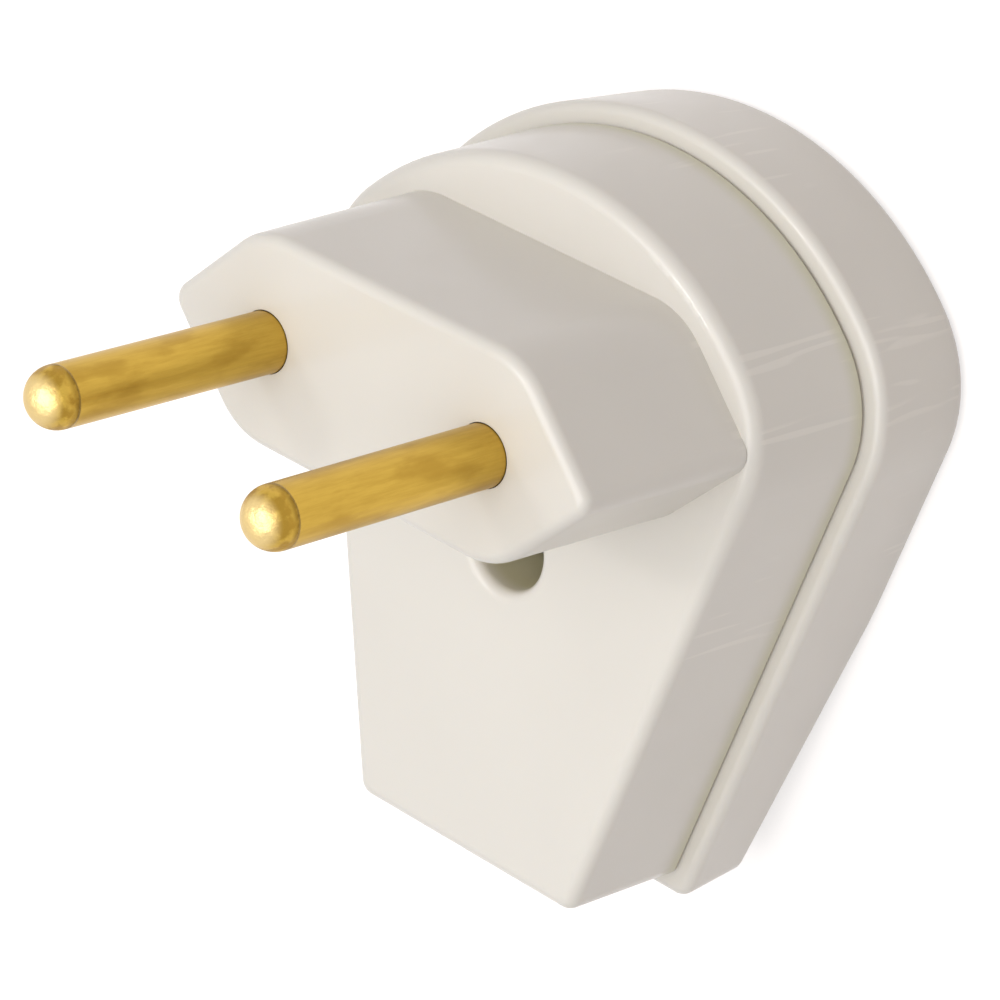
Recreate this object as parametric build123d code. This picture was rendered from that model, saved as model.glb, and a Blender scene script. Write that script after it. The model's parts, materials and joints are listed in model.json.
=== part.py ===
from build123d import *
import math
import os

# Two-pin plug whose cord leaves at a right angle to the pins, wired by hand.
# It lies on the flat of its rear face with the pins up. Millimetres throughout.
# Origin: on the rear face, midway between the pins.
# +Z runs towards the pin tips, +X from the left pin to the right one, and the cord leaves towards -Y.

# Pins
pin_diameter = 4.0
pin_length = 19.0
pin_spacing = 19.0
pin_neck_diameter = 3.6
pin_hole_clearance = 0.05
pin_head_diameter = 6.4
pin_head_end = 12.4
pin_seat_clearance = 0.1

# Nose, whose six-sided end has flats above and below and slants of 45 degrees at its sides
nose_height = 14.0
nose_flat = 22.8
nose_slant = 45.0
nose_length = 14.1
nose_draft = 1.0
nose_vertex_radius = 1.2
nose_corner_radius = 5.5
nose_edge_radius = 0.8
nose_wall = 2.0
nose_end_wall = 2.4

# Body outline at the parting plane, seen along the pins
crown_radius = 22.8
crown_top = 12.3
shoulder_radius = 8.6
side_angle = 14.9
side_half_width = 19.4
cord_end = 35.9
cord_corner_radius = 1.3
inner_corner_radius = 0.5

# Shells
rear_depth = 9.0
front_depth = 10.2
wall = 2.0
front_draft = 0.8
front_edge_radius = 1.0
rim_overhang = 1.4
rim_edge_radius = 0.7
rear_draft = 4.0
rear_edge_radius = 1.1
ramp_start = 16.0
ramp_angle = 7.8
crease_radius = 20.0
shadow_gap = 0.3
shadow_depth = 0.5
skirt_depth = 2.0
skirt_thickness = 1.0
skirt_clearance = 0.1
rib_thickness = 1.4

# Housing screw, its tower in the front shell, and the nut in the rear shell's boss
screw_offset = 13.5
screw_access_diameter = 6.0
screw_access_edge_radius = 0.8
screw_diameter = 3.0
screw_shank_length = 8.0
screw_head_diameter = 5.4
screw_head_height = 2.0
screw_seat = 12.2
screw_web = 2.0
tower_wall = 1.4
boss_diameter = 9.2
nut_width = 5.5
nut_height = 1.8
nut_top = 6.8
nut_clearance = 0.1

# Terminals
wire_hole_diameter = 3.0
wire_hole_above_end = 2.6
terminal_screw_diameter = 3.0
terminal_screw_length = 3.2
terminal_head_diameter = 5.0
terminal_head_height = 1.4
terminal_thread_depth = 5.0
post_wall = 1.5

# Cord passage and clamp
cord_diameter = 7.0
guide_wall = 1.5
guide_length = 6.0
clamp_offset = 25.0
clamp_bar_width = 5.0
clamp_bar_thickness = 2.0
clamp_bar_face = 9.0
clamp_ridge_radius = 0.8
clamp_side_gap = 0.7
clamp_screw_diameter = 3.0
clamp_screw_length = 8.0
clamp_head_diameter = 5.4
clamp_head_height = 1.6
clamp_boss_diameter = 5.2
clamp_hole_depth = 7.0
saddle_seat = 13.3
saddle_depth = 2.0

# Details shared by the screws
thread_clearance = 0.05
hole_clearance = 0.2
head_chamfer = 0.4
slot_width = 0.8
slot_depth = 0.8

# Heights that follow from the depths above
parting = rear_depth
front_face = parting + front_depth
nose_face = front_face + nose_length
pin_tip = nose_face + pin_length
front_inside = front_face - wall
pin_seat = nose_face - nose_end_wall
pin_x = pin_spacing / 2

# Half the distance between the clamp screws, which lets the bar fit between the tapering walls
side_slope = math.tan(math.radians(side_angle))
side_stretch = 1 / math.cos(math.radians(side_angle))
clamp_inner_half = side_half_width - clamp_offset * side_slope - wall * side_stretch
clamp_x = clamp_inner_half - (clamp_bar_width / 2 + clamp_side_gap) * side_stretch


def solid_cylinder(radius, low, high, x=0.0, y=0.0):
    """An upright cylinder between two heights."""
    return Pos(x, y, low) * extrude(Circle(radius), high - low)


def solid_box(x0, x1, y0, y1, z0, z1):
    """A box given by its two corners."""
    centre = Pos((x0 + x1) / 2, (y0 + y1) / 2, (z0 + z1) / 2)
    return centre * Box(x1 - x0, y1 - y0, z1 - z0)


def body_outline(offset):
    """The tapered outline with its arched top, moved outward by an offset."""
    angle = math.radians(side_angle)
    side_distance = side_half_width * math.cos(angle)
    crown_y = crown_top - crown_radius
    reach = side_distance - shoulder_radius + math.sin(angle) * crown_y
    turn = math.acos(reach / (crown_radius - shoulder_radius)) - angle
    shoulder_x = (crown_radius - shoulder_radius) * math.cos(turn)
    shoulder_y = crown_y + (crown_radius - shoulder_radius) * math.sin(turn)
    crown = crown_radius + offset
    shoulder = shoulder_radius + offset
    corner = max(cord_corner_radius + min(offset, 0), inner_corner_radius)
    corner_y = corner - cord_end - offset
    corner_x = (side_distance + offset - corner + math.sin(angle) * corner_y) / math.cos(angle)

    def on_circle(x, y, radius, at):
        return Vector(x + radius * math.cos(at), y + radius * math.sin(at))

    top = on_circle(0, crown_y, crown, math.pi / 2)
    crown_end = on_circle(0, crown_y, crown, turn)
    shoulder_mid = on_circle(shoulder_x, shoulder_y, shoulder, (turn - angle) / 2)
    shoulder_end = on_circle(shoulder_x, shoulder_y, shoulder, -angle)
    corner_start = on_circle(corner_x, corner_y, corner, -angle)
    corner_mid = on_circle(corner_x, corner_y, corner, -(angle + math.pi / 2) / 2)
    corner_end = on_circle(corner_x, corner_y, corner, -math.pi / 2)

    def mirrored(point):
        return Vector(-point.X, point.Y)

    edges = [
        ThreePointArc(crown_end, top, mirrored(crown_end)),
        ThreePointArc(mirrored(crown_end), mirrored(shoulder_mid), mirrored(shoulder_end)),
        Line(mirrored(shoulder_end), mirrored(corner_start)),
        ThreePointArc(mirrored(corner_start), mirrored(corner_mid), mirrored(corner_end)),
        Line(mirrored(corner_end), corner_end),
        ThreePointArc(corner_end, corner_mid, corner_start),
        Line(corner_start, shoulder_end),
        ThreePointArc(shoulder_end, shoulder_mid, crown_end),
    ]
    return make_face(edges)


def nose_outline(inset):
    """The six-sided nose outline with rounded corners, moved inward by an inset."""
    half_height = nose_height / 2 - inset
    half_flat = nose_flat / 2 - inset * math.tan(math.radians(nose_slant / 2))
    half_width = half_flat + half_height / math.tan(math.radians(nose_slant))
    corners = [
        (-half_width, 0),
        (-half_flat, -half_height),
        (half_flat, -half_height),
        (half_width, 0),
        (half_flat, half_height),
        (-half_flat, half_height),
    ]
    outline = make_face(Polyline(*corners, close=True))
    if inset < nose_vertex_radius:
        side = [vertex for vertex in outline.vertices() if abs(vertex.Y) < half_height / 2]
        outline = fillet(side, nose_vertex_radius - inset)
    if inset < nose_corner_radius:
        obtuse = [vertex for vertex in outline.vertices() if abs(vertex.Y) > half_height * 0.9]
        outline = fillet(obtuse, nose_corner_radius - inset)
    return outline


def ramp_cut(rise):
    """Everything below the rear face's ramp and the soft crease before it, raised by a thickness."""
    far = 2 * cord_end
    flat_end = -ramp_start + crease_radius * math.tan(math.radians(ramp_angle) / 2)
    crease = CenterArc((flat_end, rise + crease_radius), crease_radius, 270, -ramp_angle)
    drop = (far - ramp_start) * math.tan(math.radians(ramp_angle))
    below = Polyline(crease @ 1, (-far, rise + drop), (-far, -far), (flat_end, -far), crease @ 0)
    return extrude(Plane.YZ * make_face([crease, below]), far, both=True)


def body_block(low, high, low_offset, high_offset):
    """A solid between two heights whose outline has its own offset at each."""
    ends = [Pos(0, 0, low) * body_outline(low_offset), Pos(0, 0, high) * body_outline(high_offset)]
    return loft([end.face() for end in ends], ruled=True)


def draft_over(height, angle):
    """How far a wall leans in over a height."""
    return height * math.tan(math.radians(angle))


def facing_down(shape):
    """The faces that look towards the rear."""
    return [face for face in shape.faces() if face.normal_at(face.center()).Z < -0.9]


def slotted_screw(diameter, length, head_diameter, head_height):
    """A screw with its head up, its seat at height zero and its shank below."""
    head = extrude(Circle(head_diameter / 2), head_height)
    head = chamfer(head.edges().group_by(Axis.Z)[-1], head_chamfer)
    shank = Pos(0, 0, -length) * extrude(Circle(diameter / 2), length)
    slot = solid_box(-slot_width / 2, slot_width / 2, -head_diameter, head_diameter,
                     head_height - slot_depth, head_height + slot_depth)
    return head + shank - slot


def make_pin():
    """A turned pin with a domed tip and a thicker head, which seats in the nose and holds the wire."""
    shank = pin_diameter / 2
    neck = pin_neck_diameter / 2
    head = pin_head_diameter / 2
    turned = [
        Line((0, pin_head_end), (head, pin_head_end)),
        Line((head, pin_head_end), (head, pin_seat)),
        Line((head, pin_seat), (neck, pin_seat)),
        Line((neck, pin_seat), (neck, nose_face)),
        Line((neck, nose_face), (shank, nose_face)),
        Line((shank, nose_face), (shank, pin_tip - shank)),
        CenterArc((0, pin_tip - shank), shank, 0, 90),
        Line((0, pin_tip), (0, pin_head_end)),
    ]
    pin = revolve(Plane.XZ * make_face(turned), Axis.Z)
    thread = solid_cylinder(terminal_screw_diameter / 2 + thread_clearance,
                            pin_head_end - 1, pin_head_end + terminal_thread_depth)
    wire_hole = Pos(0, 0, pin_head_end + wire_hole_above_end) * Rot(90, 0, 0) * Cylinder(
        wire_hole_diameter / 2, pin_head_diameter * 2)
    return pin - thread - wire_hole


def make_front_shell():
    """The front housing half: tapering body, six-sided nose, pin sleeves, screw tower and clamp bosses."""
    body = body_block(parting, front_face, 0, -draft_over(front_depth, front_draft))
    body = fillet(body.edges().group_by(Axis.Z)[-1], front_edge_radius)
    nose_foot = nose_outline(-draft_over(nose_length, nose_draft))
    nose = Pos(0, 0, front_face) * extrude(nose_foot, nose_length, taper=nose_draft)
    nose = fillet(nose.edges().group_by(Axis.Z)[-1], nose_edge_radius)
    shell = body + nose
    cavity = Pos(0, 0, parting) * extrude(body_outline(-wall), front_depth - wall)
    nose_cavity = Pos(0, 0, front_inside) * extrude(nose_outline(nose_wall), pin_seat - front_inside)
    shell = shell - cavity - nose_cavity
    groove = body_outline(wall) - body_outline(-shadow_depth)
    shell -= Pos(0, 0, parting) * extrude(groove, shadow_gap)
    shell += make_skirt()
    shell += front_inner_features()
    shell -= front_holes()
    mouth = round_edges(shell, screw_access_diameter / 2, front_face)
    return fillet(mouth, screw_access_edge_radius)


def round_edges(shape, radius, height):
    """The circular edges with a radius at a height."""
    circles = shape.edges().filter_by(GeomType.CIRCLE)
    return [edge for edge in circles if math.isclose(edge.radius, radius, abs_tol=0.01)
            and math.isclose(edge.arc_center.Z, height, abs_tol=0.01)]


def make_skirt():
    """The thin rim that reaches into the rear shell, open where the cord guide passes."""
    ring = body_outline(-wall + skirt_thickness) - body_outline(-wall)
    skirt = Pos(0, 0, parting - skirt_depth) * extrude(ring, skirt_depth + shadow_gap)
    passage = cord_tube(cord_diameter / 2 + guide_wall + skirt_clearance, wall)
    return skirt - (passage & half_space(0, parting))


def front_inner_features():
    """Sleeves round the pins, the screw tower, the barrier between the terminals and the cord's seats."""
    sleeve_radius = pin_head_diameter / 2 + pin_seat_clearance + post_wall
    added = Part()
    for x in (-pin_x, pin_x):
        added += solid_cylinder(sleeve_radius, front_inside, nose_face - nose_end_wall / 2, x)
    tower_radius = screw_access_diameter / 2 + tower_wall
    added += solid_cylinder(tower_radius, screw_seat - screw_web, front_face - wall / 2, 0, -screw_offset)
    barrier_end = crown_top - wall / 2
    added += solid_box(-rib_thickness / 2, rib_thickness / 2, -screw_offset + tower_radius - tower_wall / 2,
                       barrier_end, screw_seat - screw_web, front_face - wall / 2)
    for x in (-clamp_x, clamp_x):
        added += solid_cylinder(clamp_boss_diameter / 2, clamp_bar_face, front_face - wall / 2,
                                x, -clamp_offset)
    saddle = solid_box(-clamp_x, clamp_x,
                       -clamp_offset - rib_thickness, -clamp_offset + rib_thickness,
                       saddle_seat - saddle_depth, front_face - wall / 2)
    seat = Pos(0, -clamp_offset, saddle_seat - cord_diameter / 2) * Rot(90, 0, 0) * Cylinder(
        cord_diameter / 2, clamp_bar_width * 2)
    added += saddle - seat
    added += cord_tube(cord_diameter / 2 + guide_wall, 0) & half_space(parting, front_face)
    return added


def half_space(low, high):
    """A slab over the whole plug between two heights."""
    return solid_box(-cord_end, cord_end, -2 * cord_end, cord_end, low, high)


def cord_tube(radius, extra):
    """A rod along the cord's line, from inside the end wall to the end of the guide, made longer each way."""
    outer_end = -cord_end + wall / 4 - extra
    inner_end = -cord_end + guide_length + extra
    middle = (outer_end + inner_end) / 2
    return Pos(0, middle, parting) * Rot(90, 0, 0) * Cylinder(radius, inner_end - outer_end)


def front_holes():
    """The holes of the front shell: pins, housing screw, clamp screws and cord."""
    holes = Part()
    for x in (-pin_x, pin_x):
        holes += solid_cylinder(pin_head_diameter / 2 + pin_seat_clearance, 0, pin_seat, x)
        holes += solid_cylinder(pin_diameter / 2 + pin_hole_clearance, pin_seat - 1, nose_face + 1, x)
    holes += solid_cylinder(screw_access_diameter / 2, screw_seat, front_face + 1, 0, -screw_offset)
    holes += solid_cylinder(screw_diameter / 2 + hole_clearance, 0, screw_seat + 1, 0, -screw_offset)
    for x in (-clamp_x, clamp_x):
        holes += solid_cylinder(clamp_screw_diameter / 2 + thread_clearance, clamp_bar_face - 1,
                                clamp_bar_face + clamp_hole_depth, x, -clamp_offset)
    holes += cord_tube(cord_diameter / 2, guide_length)
    return holes


def make_rear_shell():
    """The rear cover: larger rim, ramp at the cord end, posts behind the pins and the nut's boss."""
    shell = body_block(0, parting, rim_overhang - draft_over(rear_depth, rear_draft), rim_overhang)
    shell -= ramp_cut(0)
    shell = fillet(border_edges(facing_down(shell)), rear_edge_radius)
    shell = fillet(shell.edges().group_by(Axis.Z)[-1], rim_edge_radius)
    inside = body_outline(-wall + skirt_thickness + skirt_clearance)
    shell -= Pos(0, 0, wall) * extrude(inside, rear_depth - wall) - ramp_cut(wall)
    shell += rear_inner_features()
    shell -= rear_holes()
    return shell


def border_edges(faces):
    """The edges round a group of faces."""
    edges = [edge for face in faces for edge in face.edges()]
    return [edge for edge in edges if edges.count(edge) == 1]


def rear_inner_features():
    """Posts that hold the pins in their seats, the nut's boss, the barrier and the cord guide."""
    post_radius = terminal_head_diameter / 2 + hole_clearance + post_wall
    added = Part()
    for x in (-pin_x, pin_x):
        added += solid_cylinder(post_radius, wall / 2, pin_head_end, x)
    boss_top = screw_seat - screw_web
    boss_on_ramp = max(0, screw_offset + boss_diameter / 2 - ramp_start)
    boss_low = wall / 2 + draft_over(boss_on_ramp, ramp_angle)
    added += solid_cylinder(boss_diameter / 2, boss_low, boss_top, 0, -screw_offset)
    added += solid_box(-rib_thickness / 2, rib_thickness / 2,
                       -screw_offset + boss_diameter / 2 - rib_thickness, crown_top - wall,
                       wall / 2, parting - skirt_depth)
    added += cord_tube(cord_diameter / 2 + guide_wall, 0) & half_space(0, parting)
    return added


def rear_holes():
    """The holes of the rear shell: terminal screw heads, housing screw, nut slot and cord."""
    holes = Part()
    for x in (-pin_x, pin_x):
        holes += solid_cylinder(terminal_head_diameter / 2 + hole_clearance, wall, pin_head_end + 1, x)
    shank_end = screw_seat - screw_shank_length
    holes += solid_cylinder(screw_diameter / 2 + hole_clearance, shank_end - 1, front_face, 0, -screw_offset)
    half = nut_width / 2 + nut_clearance
    holes += solid_box(-half, half, -screw_offset - half, -screw_offset + boss_diameter,
                       nut_top - nut_height - 2 * nut_clearance, nut_top)
    holes += cord_tube(cord_diameter / 2, guide_length)
    return holes


def make_terminal_screw():
    """A terminal screw, its head towards the rear face."""
    screw = slotted_screw(terminal_screw_diameter, terminal_screw_length, terminal_head_diameter,
                          terminal_head_height)
    return Pos(0, 0, pin_head_end) * Rot(180, 0, 0) * screw


def make_cord_clamp():
    """The bar across the cord, with rounded ends, a gripping ridge and two screw holes."""
    length = 2 * clamp_x + clamp_bar_width
    bar = Pos(0, -clamp_offset, clamp_bar_face - clamp_bar_thickness) * extrude(
        SlotOverall(length, clamp_bar_width), clamp_bar_thickness)
    bar += Pos(0, -clamp_offset, clamp_bar_face) * Rot(0, 90, 0) * Cylinder(clamp_ridge_radius, cord_diameter)
    hole = clamp_screw_diameter / 2 + hole_clearance
    for x in (-clamp_x, clamp_x):
        bar -= solid_cylinder(hole, 0, clamp_bar_face + 1, x, -clamp_offset)
    return bar


def make_clamp_screw():
    """A clamp screw, its head towards the rear face."""
    screw = slotted_screw(clamp_screw_diameter, clamp_screw_length, clamp_head_diameter, clamp_head_height)
    return Pos(0, -clamp_offset, clamp_bar_face - clamp_bar_thickness) * Rot(180, 0, 0) * screw


def make_housing_screw():
    """The screw that closes the housing, its head in the front shell's tower."""
    screw = slotted_screw(screw_diameter, screw_shank_length, screw_head_diameter, screw_head_height)
    return Pos(0, -screw_offset, screw_seat) * screw


def make_housing_nut():
    """The square nut in the rear shell's boss."""
    nut = Pos(0, 0, -nut_height) * extrude(Rectangle(nut_width, nut_width), nut_height)
    nut -= solid_cylinder(screw_diameter / 2 + thread_clearance, -nut_height, 0)
    return Pos(0, -screw_offset, nut_top) * nut


def build():
    """Every piece by its node name."""
    pieces = {
        "front_shell": make_front_shell(),
        "rear_shell": make_rear_shell(),
        "cord_clamp": make_cord_clamp(),
        "housing_screw": make_housing_screw(),
        "housing_nut": make_housing_nut(),
    }
    for side, sign in (("left", -1), ("right", 1)):
        pieces[f"pin_{side}"] = Pos(sign * pin_x, 0, 0) * make_pin()
        pieces[f"terminal_screw_{side}"] = Pos(sign * pin_x, 0, 0) * make_terminal_screw()
        pieces[f"clamp_screw_{side}"] = Pos(sign * clamp_x, 0, 0) * make_clamp_screw()
    return pieces


os.makedirs("parts", exist_ok=True)
for node, piece in build().items():
    export_step(piece, f"parts/{node}.step")
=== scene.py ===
import json
import math

import bpy
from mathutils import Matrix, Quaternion, Vector


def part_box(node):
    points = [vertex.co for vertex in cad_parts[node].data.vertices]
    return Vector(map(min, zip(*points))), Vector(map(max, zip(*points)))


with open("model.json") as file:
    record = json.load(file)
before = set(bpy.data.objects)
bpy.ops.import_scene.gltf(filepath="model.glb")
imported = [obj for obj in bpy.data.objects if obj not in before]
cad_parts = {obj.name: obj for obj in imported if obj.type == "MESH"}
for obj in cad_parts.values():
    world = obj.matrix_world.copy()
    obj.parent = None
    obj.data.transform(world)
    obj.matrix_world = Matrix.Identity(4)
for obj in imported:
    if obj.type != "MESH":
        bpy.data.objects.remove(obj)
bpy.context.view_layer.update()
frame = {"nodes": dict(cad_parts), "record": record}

# Looks of the two-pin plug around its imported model. Metres throughout.
# The plug lies on the floor on its rear face: +Z runs towards the pin tips, and the cord leaves towards -Y.

nodes = frame["nodes"]

# Camera, from the directions in which it stands round the plug
camera_aim = Vector((0.0, -0.00994, 0.02026))
camera_distance = 0.31849
camera_azimuth = 34.394
camera_elevation = 43.369
camera_roll = -107.058
camera_lens = 181.572
sensor_width = 36
nearest_seen = 0.01

# Colours as linear red, green and blue
housing_color = (0.822, 0.780, 0.714)
# Painted shade inside the screw's hole, darker and olive
hole_shade_color = (0.66, 0.61, 0.42)
# Painted shade, with a yellowish tint of light bounced off the rear shell's rim, on the front shell's wall
# next to the seam
seam_shade_color = (0.72, 0.69, 0.52)
brass_color = (0.58, 0.38, 0.068)
brass_dark = (0.40, 0.24, 0.036)
# Painted highlight on each pin's dome
brass_highlight_color = (0.80, 0.60, 0.27)
zinc_color = (0.36, 0.36, 0.37)
clamp_color = (0.10, 0.10, 0.11)
floor_color = (0.60, 0.56, 0.545)
white = (1.0, 1.0, 1.0)

# Light of the room and its lamps, and the floor's size and extra brightness towards the camera
room_strength = 0.30
lamp_distance = 0.9
floor_lift = 0.65
floor_size = 3.0

# Places on the plug that the finishes follow: heights above its rear face, radii and widths
pin_radius = 0.002
dome_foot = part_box("pin_left")[1].z - pin_radius
parting = 0.009
seam_width = 0.0018
front_face = 0.0192
front_fade = 0.001
screw_low, screw_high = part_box("housing_screw")
screw_axis = (screw_low + screw_high) / 2
screw_hole_radius = 0.003

# Where light streaks are painted on both shells' shoulders as reflections, along Y, and half the width of
# such a place
shoulder_streaks = (0.0012, 0.0053)
shoulder_reach = 0.0008

# How far the finishes' small bumps rise
skin_bump = 0.000003
brass_grain_bump = 0.00001
dome_bump = 0.00014
zinc_bump = 0.00001
clamp_bump = 0.00002


def direction(azimuth, elevation):
    """The unit vector towards an azimuth from +X and an elevation above the floor, in degrees."""
    across = math.cos(math.radians(elevation))
    return Vector((
        across * math.cos(math.radians(azimuth)),
        across * math.sin(math.radians(azimuth)),
        math.sin(math.radians(elevation)),
    ))


def aim_at(thing, place, target, roll=0.0):
    """Puts a camera or lamp at a place, turned towards a target and rolled about its own axis."""
    turn = (target - place).to_track_quat("-Z", "Y")
    thing.rotation_mode = "QUATERNION"
    thing.rotation_quaternion = turn @ Quaternion((0, 0, 1), math.radians(roll))
    thing.location = place


def make_camera():
    data = bpy.data.cameras.new("camera")
    data.lens = camera_lens
    data.sensor_width = sensor_width
    data.clip_start = nearest_seen
    camera = bpy.data.objects.new("camera", data)
    bpy.context.scene.collection.objects.link(camera)
    place = camera_aim + camera_distance * direction(camera_azimuth, camera_elevation)
    aim_at(camera, place, camera_aim, camera_roll)
    bpy.context.scene.camera = camera


def soft_lamp(name, azimuth, elevation, size, power):
    """A square soft lamp that faces the plug."""
    data = bpy.data.lights.new(name, "AREA")
    data.shape = "SQUARE"
    data.size = size
    data.energy = power
    lamp = bpy.data.objects.new(name, data)
    bpy.context.scene.collection.objects.link(lamp)
    aim_at(lamp, camera_aim + lamp_distance * direction(azimuth, elevation), camera_aim)


def add_seen(tree):
    """One for rays that show the background: those of the camera, reflections and see-through parts."""
    path = tree.nodes.new("ShaderNodeLightPath")
    seen = path.outputs["Is Camera Ray"]
    for name in ("Is Glossy Ray", "Is Transmission Ray"):
        either = tree.nodes.new("ShaderNodeMath")
        either.operation = "MAXIMUM"
        tree.links.new(seen, either.inputs[0])
        tree.links.new(path.outputs[name], either.inputs[1])
        seen = either.outputs[0]
    return seen


def make_world():
    """An even room, which lights the plug gently and is seen as white."""
    world = bpy.data.worlds.new("room")
    world.use_nodes = True
    tree = world.node_tree
    background = tree.nodes["Background"]
    background.inputs["Color"].default_value = (*white, 1)
    strength = tree.nodes.new("ShaderNodeMapRange")
    strength.inputs["To Min"].default_value = room_strength
    strength.inputs["To Max"].default_value = 1.0
    tree.links.new(add_seen(tree), strength.inputs["Value"])
    tree.links.new(strength.outputs["Result"], background.inputs["Strength"])
    bpy.context.scene.world = world


class Maker:
    """Builds one material's node tree."""

    def __init__(self, name):
        self.material = bpy.data.materials.new(name)
        self.material.use_nodes = True
        self.tree = self.material.node_tree
        self.shader = self.tree.nodes["Principled BSDF"]

    def node(self, kind, **settings):
        made = self.tree.nodes.new(kind)
        for name, value in settings.items():
            setattr(made, name, value)
        return made

    def link(self, source, target):
        self.tree.links.new(source, target)

    def set(self, **values):
        """Sets constants on the shader's own sockets."""
        for name, value in values.items():
            self.shader.inputs[name.replace("_", " ")].default_value = value

    def place(self, scale=(1, 1, 1)):
        """The object's own coordinates in metres, stretched by a scale."""
        coordinates = self.node("ShaderNodeTexCoord")
        mapping = self.node("ShaderNodeMapping")
        mapping.inputs["Scale"].default_value = scale
        self.link(coordinates.outputs["Object"], mapping.inputs["Vector"])
        return mapping.outputs["Vector"]

    def noise(self, vector, scale, detail=3.0, roughness=0.5):
        texture = self.node("ShaderNodeTexNoise")
        texture.inputs["Scale"].default_value = scale
        texture.inputs["Detail"].default_value = detail
        texture.inputs["Roughness"].default_value = roughness
        self.link(vector, texture.inputs["Vector"])
        return texture.outputs["Fac"]

    def spread(self, value, low, high, to_low=0.0, to_high=1.0):
        """Maps a value's range smoothly to another one."""
        spread = self.node("ShaderNodeMapRange", interpolation_type="SMOOTHSTEP")
        for socket, number in zip(spread.inputs[1:5], (low, high, to_low, to_high)):
            socket.default_value = number
        self.link(value, spread.inputs[0])
        return spread.outputs[0]

    def fade(self, value, low, high):
        """One up to a low value, then falling smoothly to zero at a high one."""
        return self.spread(value, low, high, to_low=1, to_high=0)

    def blend(self, factor, first, second):
        """A colour between two others."""
        mix = self.node("ShaderNodeMix", data_type="RGBA")
        self.link(factor, mix.inputs["Factor"])
        for socket, color in ((mix.inputs["A"], first), (mix.inputs["B"], second)):
            if isinstance(color, tuple):
                socket.default_value = (*color, 1)
            else:
                self.link(color, socket)
        return mix.outputs["Result"]

    def height(self, vector):
        """The Z of a vector."""
        split = self.node("ShaderNodeSeparateXYZ")
        self.link(vector, split.inputs[0])
        return split.outputs["Z"]

    def joined(self, operation, *values):
        """Several values put together by one operation."""
        result = values[0]
        for value in values[1:]:
            both = self.node("ShaderNodeMath", operation=operation)
            self.link(result, both.inputs[0])
            self.link(value, both.inputs[1])
            result = both.outputs[0]
        return result

    def product(self, *values):
        return self.joined("MULTIPLY", *values)

    def largest(self, *values):
        return self.joined("MAXIMUM", *values)

    def near(self, vector, centre, inner, outer):
        """One where a vector is within a distance of a centre, fading out further away."""
        gap = self.node("ShaderNodeVectorMath", operation="DISTANCE")
        gap.inputs[1].default_value = centre
        self.link(vector, gap.inputs[0])
        return self.fade(gap.outputs["Value"], inner, outer)

    def upright(self):
        """One on walls that stand along the pins, zero on faces across them."""
        geometry = self.node("ShaderNodeNewGeometry")
        steepness = self.node("ShaderNodeMath", operation="ABSOLUTE")
        self.link(self.height(geometry.outputs["Normal"]), steepness.inputs[0])
        return self.fade(steepness.outputs[0], low=0.1, high=0.4)

    def screw_hole_shade(self):
        """One on the wall of the screw's hole, fading out at its mouth, where the hole's shade is painted.
        """
        centre = (screw_axis.x, screw_axis.y, 0)
        within = self.near(self.place((1, 1, 0)), centre, screw_hole_radius, 1.1 * screw_hole_radius)
        deep = self.fade(self.height(self.place()), front_face - 0.7 * screw_hole_radius, front_face)
        return self.product(within, deep)

    def seam_shade(self):
        """One on the front shell's wall where it meets the rear shell, fading out above, where shade is
        painted.
        """
        height = self.height(self.place())
        above = self.spread(height, parting - 0.1 * seam_width, parting)
        low = self.fade(height, parting, parting + seam_width)
        return self.product(above, low, self.upright())

    def reflection_streaks(self):
        """One on thin lighter streaks painted along the body's walls as reflections: a few here and there,
        and some on the shoulders.
        """
        place = self.place()
        lines = self.noise(self.place((1, 1, 0.05)), scale=2200, detail=0)
        groups = self.noise(place, scale=120, detail=0)
        sparse = self.spread(lines, low=0.66, high=0.76)
        painted_streaks = self.product(sparse, self.spread(groups, low=0.58, high=0.68))
        for shoulder in shoulder_streaks:
            here = self.near(self.place((0, 1, 0)), (0, shoulder, 0), shoulder_reach / 2, shoulder_reach)
            painted_streaks = self.largest(painted_streaks, self.product(here, self.spread(lines, low=0.50, high=0.62)))
        on_body = self.fade(self.height(place), front_face, front_face + front_fade)
        return self.product(painted_streaks, on_body, self.upright())

    def bump(self, height, distance, under=None):
        """A bumpy normal, on top of another one where it is given."""
        bump = self.node("ShaderNodeBump")
        bump.inputs["Distance"].default_value = distance
        self.link(height, bump.inputs["Height"])
        if under is not None:
            self.link(under, bump.inputs["Normal"])
        return bump.outputs["Normal"]

    def finish(self, color=None, roughness=None, normal=None):
        for name, socket in (("Base Color", color), ("Roughness", roughness), ("Normal", normal)):
            if socket is not None:
                self.link(socket, self.shader.inputs[name])
        return self.material


def shade(color, factor):
    return tuple(channel * factor for channel in color)


def housing_plastic():
    """Warm off-white moulded plastic, faintly clouded, with painted shade at the seam and in the screw's
    hole and lighter streaks painted on its walls as reflections.
    """
    maker = Maker("housing_plastic")
    place = maker.place()
    clouds = maker.noise(place, scale=90, detail=2)
    clouded = maker.blend(clouds, shade(housing_color, 0.97), shade(housing_color, 1.02))
    # Lighter streaks painted on the walls as reflections
    reflection_streaked = maker.blend(maker.reflection_streaks(), clouded, shade(housing_color, 1.065))
    # Painted shade at the seam
    seam_shaded = maker.blend(maker.seam_shade(), reflection_streaked, seam_shade_color)
    # Painted shade inside the screw's hole
    color = maker.blend(maker.screw_hole_shade(), seam_shaded, hole_shade_color)
    polish = maker.noise(place, scale=260, detail=4)
    roughness = maker.spread(polish, low=0.3, high=0.7, to_low=0.30, to_high=0.37)
    normal = maker.bump(maker.noise(place, scale=700, detail=1), skin_bump)
    maker.set(IOR=1.5, Coat_Weight=0.28, Coat_Roughness=0.12, Coat_IOR=1.45)
    maker.set(Subsurface_Weight=0.12, Subsurface_Scale=0.0012, Subsurface_Radius=(1.0, 0.8, 0.55))
    return maker.finish(color, roughness, normal)


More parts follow.
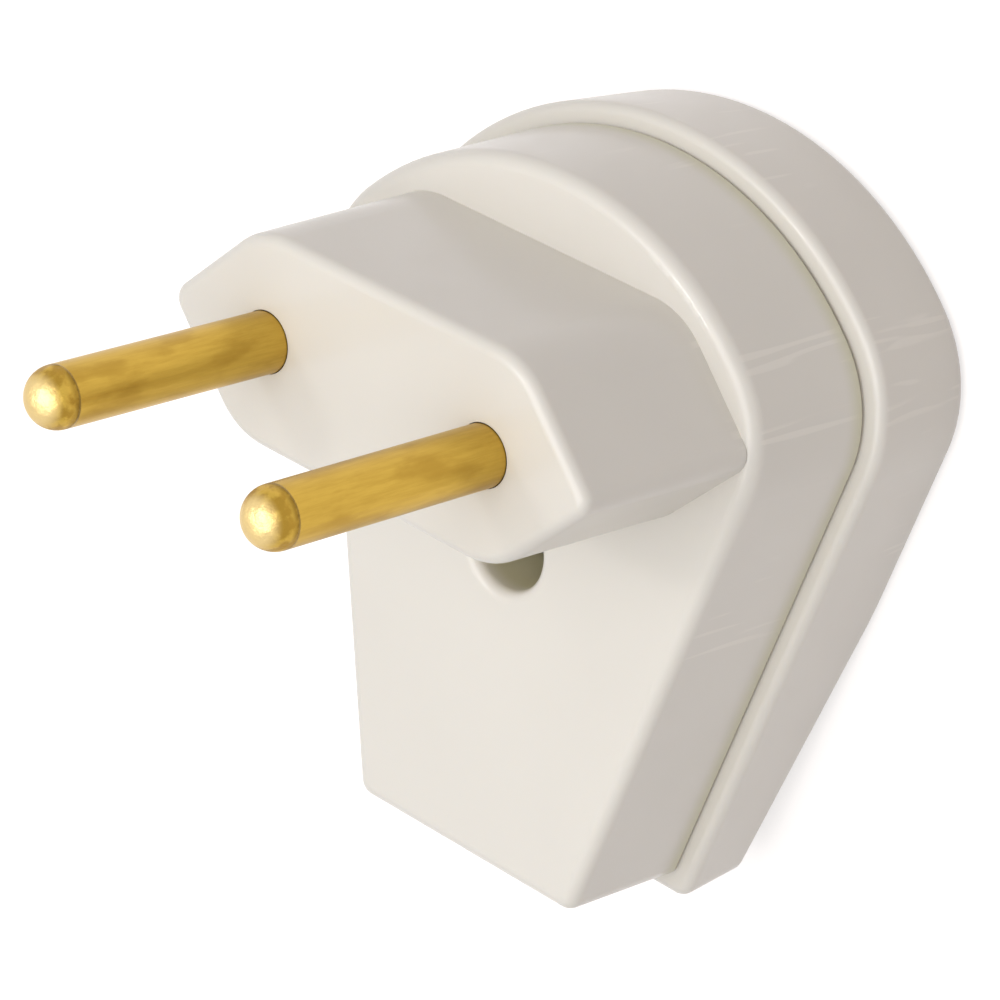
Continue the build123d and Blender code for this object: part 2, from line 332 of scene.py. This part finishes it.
def brass():
    """Drawn brass: streaks along the pin, and a dome painted brighter at its end as a highlight, with a
    darker, uneven ring of painted shade at its foot.
    """
    maker = Maker("drawn_brass")
    height = maker.height(maker.place())
    streaks = maker.noise(maker.place((1, 1, 0.08)), scale=3200, detail=5, roughness=0.7)
    tarnish = maker.noise(maker.place((1, 1, 0.35)), scale=520, detail=4)
    lumps = maker.noise(maker.place(), scale=1300, detail=3)
    streaked = maker.blend(maker.spread(streaks, low=0.3, high=0.7, to_high=0.4), brass_color, brass_dark)
    worn = maker.blend(maker.spread(tarnish, low=0.48, high=0.70, to_high=0.75), streaked, brass_dark)
    uneven = maker.blend(maker.spread(lumps, low=0.4, high=0.62), brass_dark, brass_color)
    # Painted highlight: the dome is painted brighter towards its end
    tip_highlight = maker.spread(height, dome_foot + 0.45 * pin_radius, dome_foot + 0.85 * pin_radius)
    dome = maker.blend(tip_highlight, uneven, brass_highlight_color)
    # Painted shade: a darker, uneven ring at the dome's foot
    foot = maker.fade(height, dome_foot, dome_foot + 0.25 * pin_radius)
    foot_shade = maker.product(foot, maker.spread(lumps, low=0.4, high=0.6, to_low=0.2))
    foot_shaded = maker.blend(foot_shade, dome, shade(brass_dark, 0.7))
    at_tip = maker.spread(height, dome_foot - 0.1 * pin_radius, dome_foot)
    color = maker.blend(at_tip, worn, foot_shaded)
    roughness = maker.spread(at_tip, low=0, high=1, to_low=0.36, to_high=0.44)
    grain = maker.bump(streaks, brass_grain_bump)
    normal = maker.bump(maker.product(at_tip, lumps), dome_bump, under=grain)
    maker.set(Metallic=1.0)
    return maker.finish(color, roughness, normal)


def zinc():
    """Zinc-plated steel with fine turning marks and a dull film."""
    maker = Maker("zinc_plate")
    place = maker.place()
    film = maker.noise(place, scale=700, detail=4)
    color = maker.blend(maker.spread(film, low=0.35, high=0.7), zinc_color, shade(zinc_color, 0.78))
    grain = maker.noise(maker.place((1, 1, 0.1)), scale=4200, detail=3)
    roughness = maker.spread(grain, low=0.3, high=0.7, to_low=0.36, to_high=0.52)
    maker.set(Metallic=1.0)
    return maker.finish(color, roughness, maker.bump(grain, zinc_bump))


def clamp_plastic():
    """Dark moulded plastic with a fine matt grain."""
    maker = Maker("clamp_plastic")
    place = maker.place()
    grain = maker.noise(place, scale=3200, detail=3)
    color = maker.blend(maker.noise(place, scale=300), clamp_color, shade(clamp_color, 0.8))
    roughness = maker.spread(grain, low=0.3, high=0.7, to_low=0.50, to_high=0.62)
    return maker.finish(color, roughness, maker.bump(grain, clamp_bump))


def floor_paint():
    """A pale floor that the camera sees as white, with the plug's soft shadow kept."""
    maker = Maker("floor_paint")
    tone = maker.noise(maker.place(), scale=6, detail=2)
    color = maker.blend(tone, floor_color, shade(floor_color, 0.98))
    maker.set(Roughness=0.9, Specular_IOR_Level=0.1)
    glow = maker.node("ShaderNodeEmission")
    glow.inputs["Color"].default_value = (*white, 1)
    seen = add_seen(maker.tree)
    maker.link(maker.spread(seen, low=0, high=1, to_high=floor_lift), glow.inputs["Strength"])
    both = maker.node("ShaderNodeAddShader")
    maker.link(maker.shader.outputs[0], both.inputs[0])
    maker.link(glow.outputs[0], both.inputs[1])
    output = maker.tree.nodes["Material Output"]
    maker.link(both.outputs[0], output.inputs["Surface"])
    return maker.finish(color)


def make_floor():
    mesh = bpy.data.meshes.new("floor")
    half = floor_size / 2
    corners = [(-half, -half, 0), (half, -half, 0), (half, half, 0), (-half, half, 0)]
    mesh.from_pydata(corners, [], [(0, 1, 2, 3)])
    floor = bpy.data.objects.new("floor", mesh)
    bpy.context.scene.collection.objects.link(floor)
    mesh.materials.append(floor_paint())


def dress():
    """Gives each CAD node its finish."""
    finishes = {"housing": housing_plastic(), "pins": brass(), "screws": zinc(), "clamp": clamp_plastic()}
    for part in frame["record"]["subparts"]:
        mesh = nodes[part["node"]].data
        mesh.materials.clear()
        mesh.materials.append(finishes[part["material_slot"]])


make_camera()
make_world()
soft_lamp("key", azimuth=45, elevation=80, size=1.0, power=7.2)
soft_lamp("accent", azimuth=138, elevation=70, size=0.09, power=0.5)
make_floor()
dress()

scene = bpy.context.scene
scene.view_settings.view_transform = "Standard"
